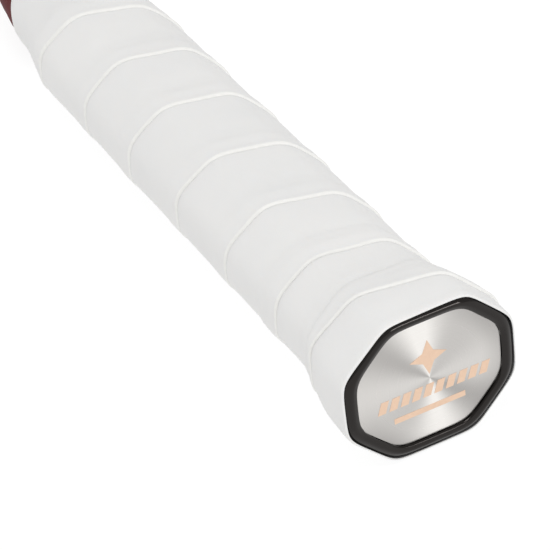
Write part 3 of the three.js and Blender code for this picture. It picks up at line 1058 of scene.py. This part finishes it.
def right_hand_holes():
    """The holes of the right half by use, each as [outer place, inner place]."""
    widest = find_along(1, HEAD_CENTRE, PERIMETER * 0.2, PERIMETER * 0.3)
    holes = {"main_bottom": [], "main_top": [], "cross": []}
    for i in range(MAINS_PER_SIDE):
        x = MAIN_PITCH * (i + 0.5)
        holes["main_bottom"].append(find_along(0, x, 0, widest))
        holes["main_top"].append(find_along(0, x, widest, PERIMETER / 2))
    for i in range(CROSSES):
        y = HEAD_CENTRE + CROSS_PITCH * ((CROSSES - 1) / 2 - i)
        holes["cross"].append(find_along(1, y, PERIMETER * 0.02, PERIMETER * 0.48))
    holes["main_tie"] = [holes["main_bottom"][-1] + TIE_OFFSET]
    holes["cross_tie"] = [holes["cross"][0] + TIE_OFFSET, holes["cross"][-1] - TIE_OFFSET]
    holes = {use: [[place, place] for place in places] for use, places in holes.items()}
    every_hole = [hole for group in holes.values() for hole in group]
    in_order = sorted(every_hole, key=lambda hole: hole[0])
    for _ in range(100):
        for before, after in zip(in_order, in_order[1:]):
            short = HOLE_MIN_PITCH - (after[0] - before[0])
            if short > 0:
                after[0] += short / 2
                before[0] -= short / 2
                after[1] = after[0]
                before[1] = before[0]
    holes["main_bottom"][0][0] += THROAT_SLANT
    return holes


def mirrored(holes):
    """The same holes on the other half of the head."""
    other = {}
    for use, group in holes.items():
        other[use] = [[PERIMETER - outer, PERIMETER - inner] for outer, inner in group]
    return other


RIGHT = right_hand_holes()
LEFT = mirrored(RIGHT)


def in_hole(hole, inward, up):
    """A point on a hole's axis."""
    outer = on_head(np.array(hole[0]), HOLE_MOUTH, up)
    inner = on_head(np.array(hole[1]), BARREL_TIP, up)
    return outer + (inner - outer) * (inward - HOLE_MOUTH) / (BARREL_TIP - HOLE_MOUTH)


def square_to(start, end):
    """The direction from start to end, and two more at right angles to it."""
    axis = (end - start) / np.linalg.norm(end - start)
    side = np.cross(axis, [0, 0, 1])
    side /= np.linalg.norm(side)
    return axis, side, np.cross(axis, side)


def make_grommets(side_name, holes, sign):
    """The strips in the groove and the barrels through the frame, on one side of the head."""
    zones = ("throat", "lower", "side", "upper", "crown")
    nodes = [f"grommet_strip_{zone}_{side_name}" for zone in zones]
    sides = 12
    angles = ring_angles(sides)[:, None]
    vertices, faces = [], []
    for group_name, group in holes.items():
        up = -LAYER_HEIGHT if "cross" in group_name else LAYER_HEIGHT
        for hole in group:
            base = len(vertices)
            for inward, radius in BARREL_SECTION:
                centre = in_hole(hole, inward, up)
                _, side, other = square_to(centre, in_hole(hole, 2 * BARREL_TIP, up))
                ring = np.cos(angles) * side + np.sin(angles) * other
                vertices.extend((centre + ring * radius).tolist())
            for face in grid_faces(len(BARREL_SECTION), sides, closed_columns=True):
                faces.append(tuple(base + corner for corner in face))
    name = f"grommet_barrels_{side_name}"
    add_piece(name, vertices, faces, [BLACK_NYLON], nodes)
    other_half = [(-up, inward) for up, inward in reversed(BAND_SECTION)]
    last = max(hole[0] for group in RIGHT.values() for hole in group)
    ends = sorted((sign * BAND_START, sign * (last + BAND_PAST_LAST)))
    sweep_on_head(f"grommet_band_{side_name}", BAND_SECTION + other_half, *ends, 2.4,
                  BLACK_NYLON, "black_nylon")


# ---- Strings ----

def add_string(name, points, radius, replaces=()):
    """A string along its points in millimetres, as a round curve."""
    curve = bpy.data.curves.new(name, "CURVE")
    curve.dimensions = "3D"
    curve.bevel_depth = radius * MM
    curve.bevel_resolution = 2
    curve.use_fill_caps = True
    spline = curve.splines.new("POLY")
    spline.points.add(len(points) - 1)
    for target, place in zip(spline.points, points):
        target.co = (*(np.asarray(place) * MM), 1)
    spline.use_smooth = True
    curve.materials.append(STRING)
    piece = add_object(name, curve)
    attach(piece, "root")
    if replaces:
        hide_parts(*replaces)


def loop_around(start, end, up):
    """From inside one hole round the frame in its groove to inside the next."""
    turn = LOOP_BEND if end[0] > start[0] else -LOOP_BEND
    first, last = start[0] + turn, end[0] - turn
    steps = max(2, int(abs(last - first) / 3))
    groove = [on_head(np.array(place), LOOP_DEPTH, up) for place in np.linspace(first, last, steps)]
    inside, outside = BARREL_TIP + LOOP_BEND, LOOP_DEPTH + LOOP_BEND
    out = [in_hole(start, inside, up), in_hole(start, outside, up)]
    back = [in_hole(end, outside, up), in_hole(end, inside, up)]
    return out + groove + back


def woven(start, end, axis, crossings, over_first):
    """A string's points from hole to hole, over and under the strings that it crosses."""
    points = []
    margin = CROSSING_MARGIN
    low, high = sorted((start[axis], end[axis]))
    met = [(i, place) for i, place in enumerate(crossings) if low + margin < place < high - margin]
    if start[axis] > end[axis]:
        met.reverse()
    for i, place in met:
        height = WEAVE if (i % 2 == 0) == over_first else -WEAVE
        for shift in (-WEAVE_REACH, 0, WEAVE_REACH):
            step = shift if start[axis] < end[axis] else -shift
            share = (place + step - start[axis]) / (end[axis] - start[axis])
            point = start + (end - start) * share
            point[2] = height
            points.append(point)
    return points


def knot(name, place, toward):
    """A small knot of two and a half turns, pulled tight against its grommet."""
    axis, side, other = square_to(place, toward)
    steps, turns, reach, length = 32, 2.5, 0.62, 1.5
    points = []
    for i in range(steps + 1):
        angle = i / steps * turns * TURN
        ring = side * math.cos(angle) * reach + other * math.sin(angle) * reach
        points.append(place + axis * (0.2 + i / steps * length) + ring)
    points.append(place + axis * 2.6 + side * 0.5)
    add_string(name, points, KNOT_STRING_RADIUS)


def string_through(pairs, up, axis, crossings, first_index):
    """All the points of one string, laced through pairs of holes joined round the frame."""
    points = []
    for start, end, index in pairs:
        loop = loop_around(start, end, up)
        if points:
            over_first = (index + first_index) % 2 == 0
            points += woven(points[-1], loop[0], axis, crossings, over_first)
        points += loop
    return points


def main_pairs(side):
    """The holes of one half of the head that the main string joins, from the middle outwards."""
    pairs = []
    for i in range(MAINS_PER_SIDE - 1):
        row = side["main_bottom"] if i % 2 == 0 else side["main_top"]
        pairs.append((row[i], row[i + 1]))
    pairs.append((side["main_bottom"][-1], side["main_tie"][0]))
    return pairs


def make_strings():
    """The main string between its two tie-offs, and the cross string from top to bottom."""
    main_x = [MAIN_PITCH * (i + 0.5) for i in range(-MAINS_PER_SIDE, MAINS_PER_SIDE)]
    cross_y = [HEAD_CENTRE + CROSS_PITCH * (i - (CROSSES - 1) / 2) for i in range(CROSSES)]

    left_half = [(end, start) for start, end in reversed(main_pairs(LEFT))]
    middle = (LEFT["main_top"][0], RIGHT["main_top"][0])
    ordered = [*left_half, middle, *main_pairs(RIGHT)]
    pairs = [(start, end, i - 1) for i, (start, end) in enumerate(ordered)]
    main = string_through(pairs, LAYER_HEIGHT, 1, cross_y, 0)
    add_string("main_string_woven", main, STRING_RADIUS, ["main_string"])

    pairs = [(LEFT["cross_tie"][0], LEFT["cross"][0], -1)]
    for i in range(CROSSES - 1):
        side = RIGHT if i % 2 == 0 else LEFT
        pairs.append((side["cross"][i], side["cross"][i + 1], i))
    pairs.append((RIGHT["cross"][-1], RIGHT["cross_tie"][1], CROSSES - 1))
    cross = string_through(pairs, -LAYER_HEIGHT, 0, main_x, 1)
    add_string("cross_string_woven", cross, STRING_RADIUS, ["cross_string"])

    for name, points in (("main", main), ("cross", cross)):
        knot(f"{name}_knot_start", points[0], points[0] + (points[0] - points[1]))
        knot(f"{name}_knot_end", points[-1], points[-1] + (points[-1] - points[-2]))


# ---- The racket ----

make_stage()
dress_cad_nodes()
make_butt_cap()
make_ornament()
make_grip_tape()
make_tape_ends()
make_finishing_tape()
make_cone()
make_shaft()
make_frame()
make_grommets("right", RIGHT, 1)
make_grommets("left", LEFT, -1)
make_strings()
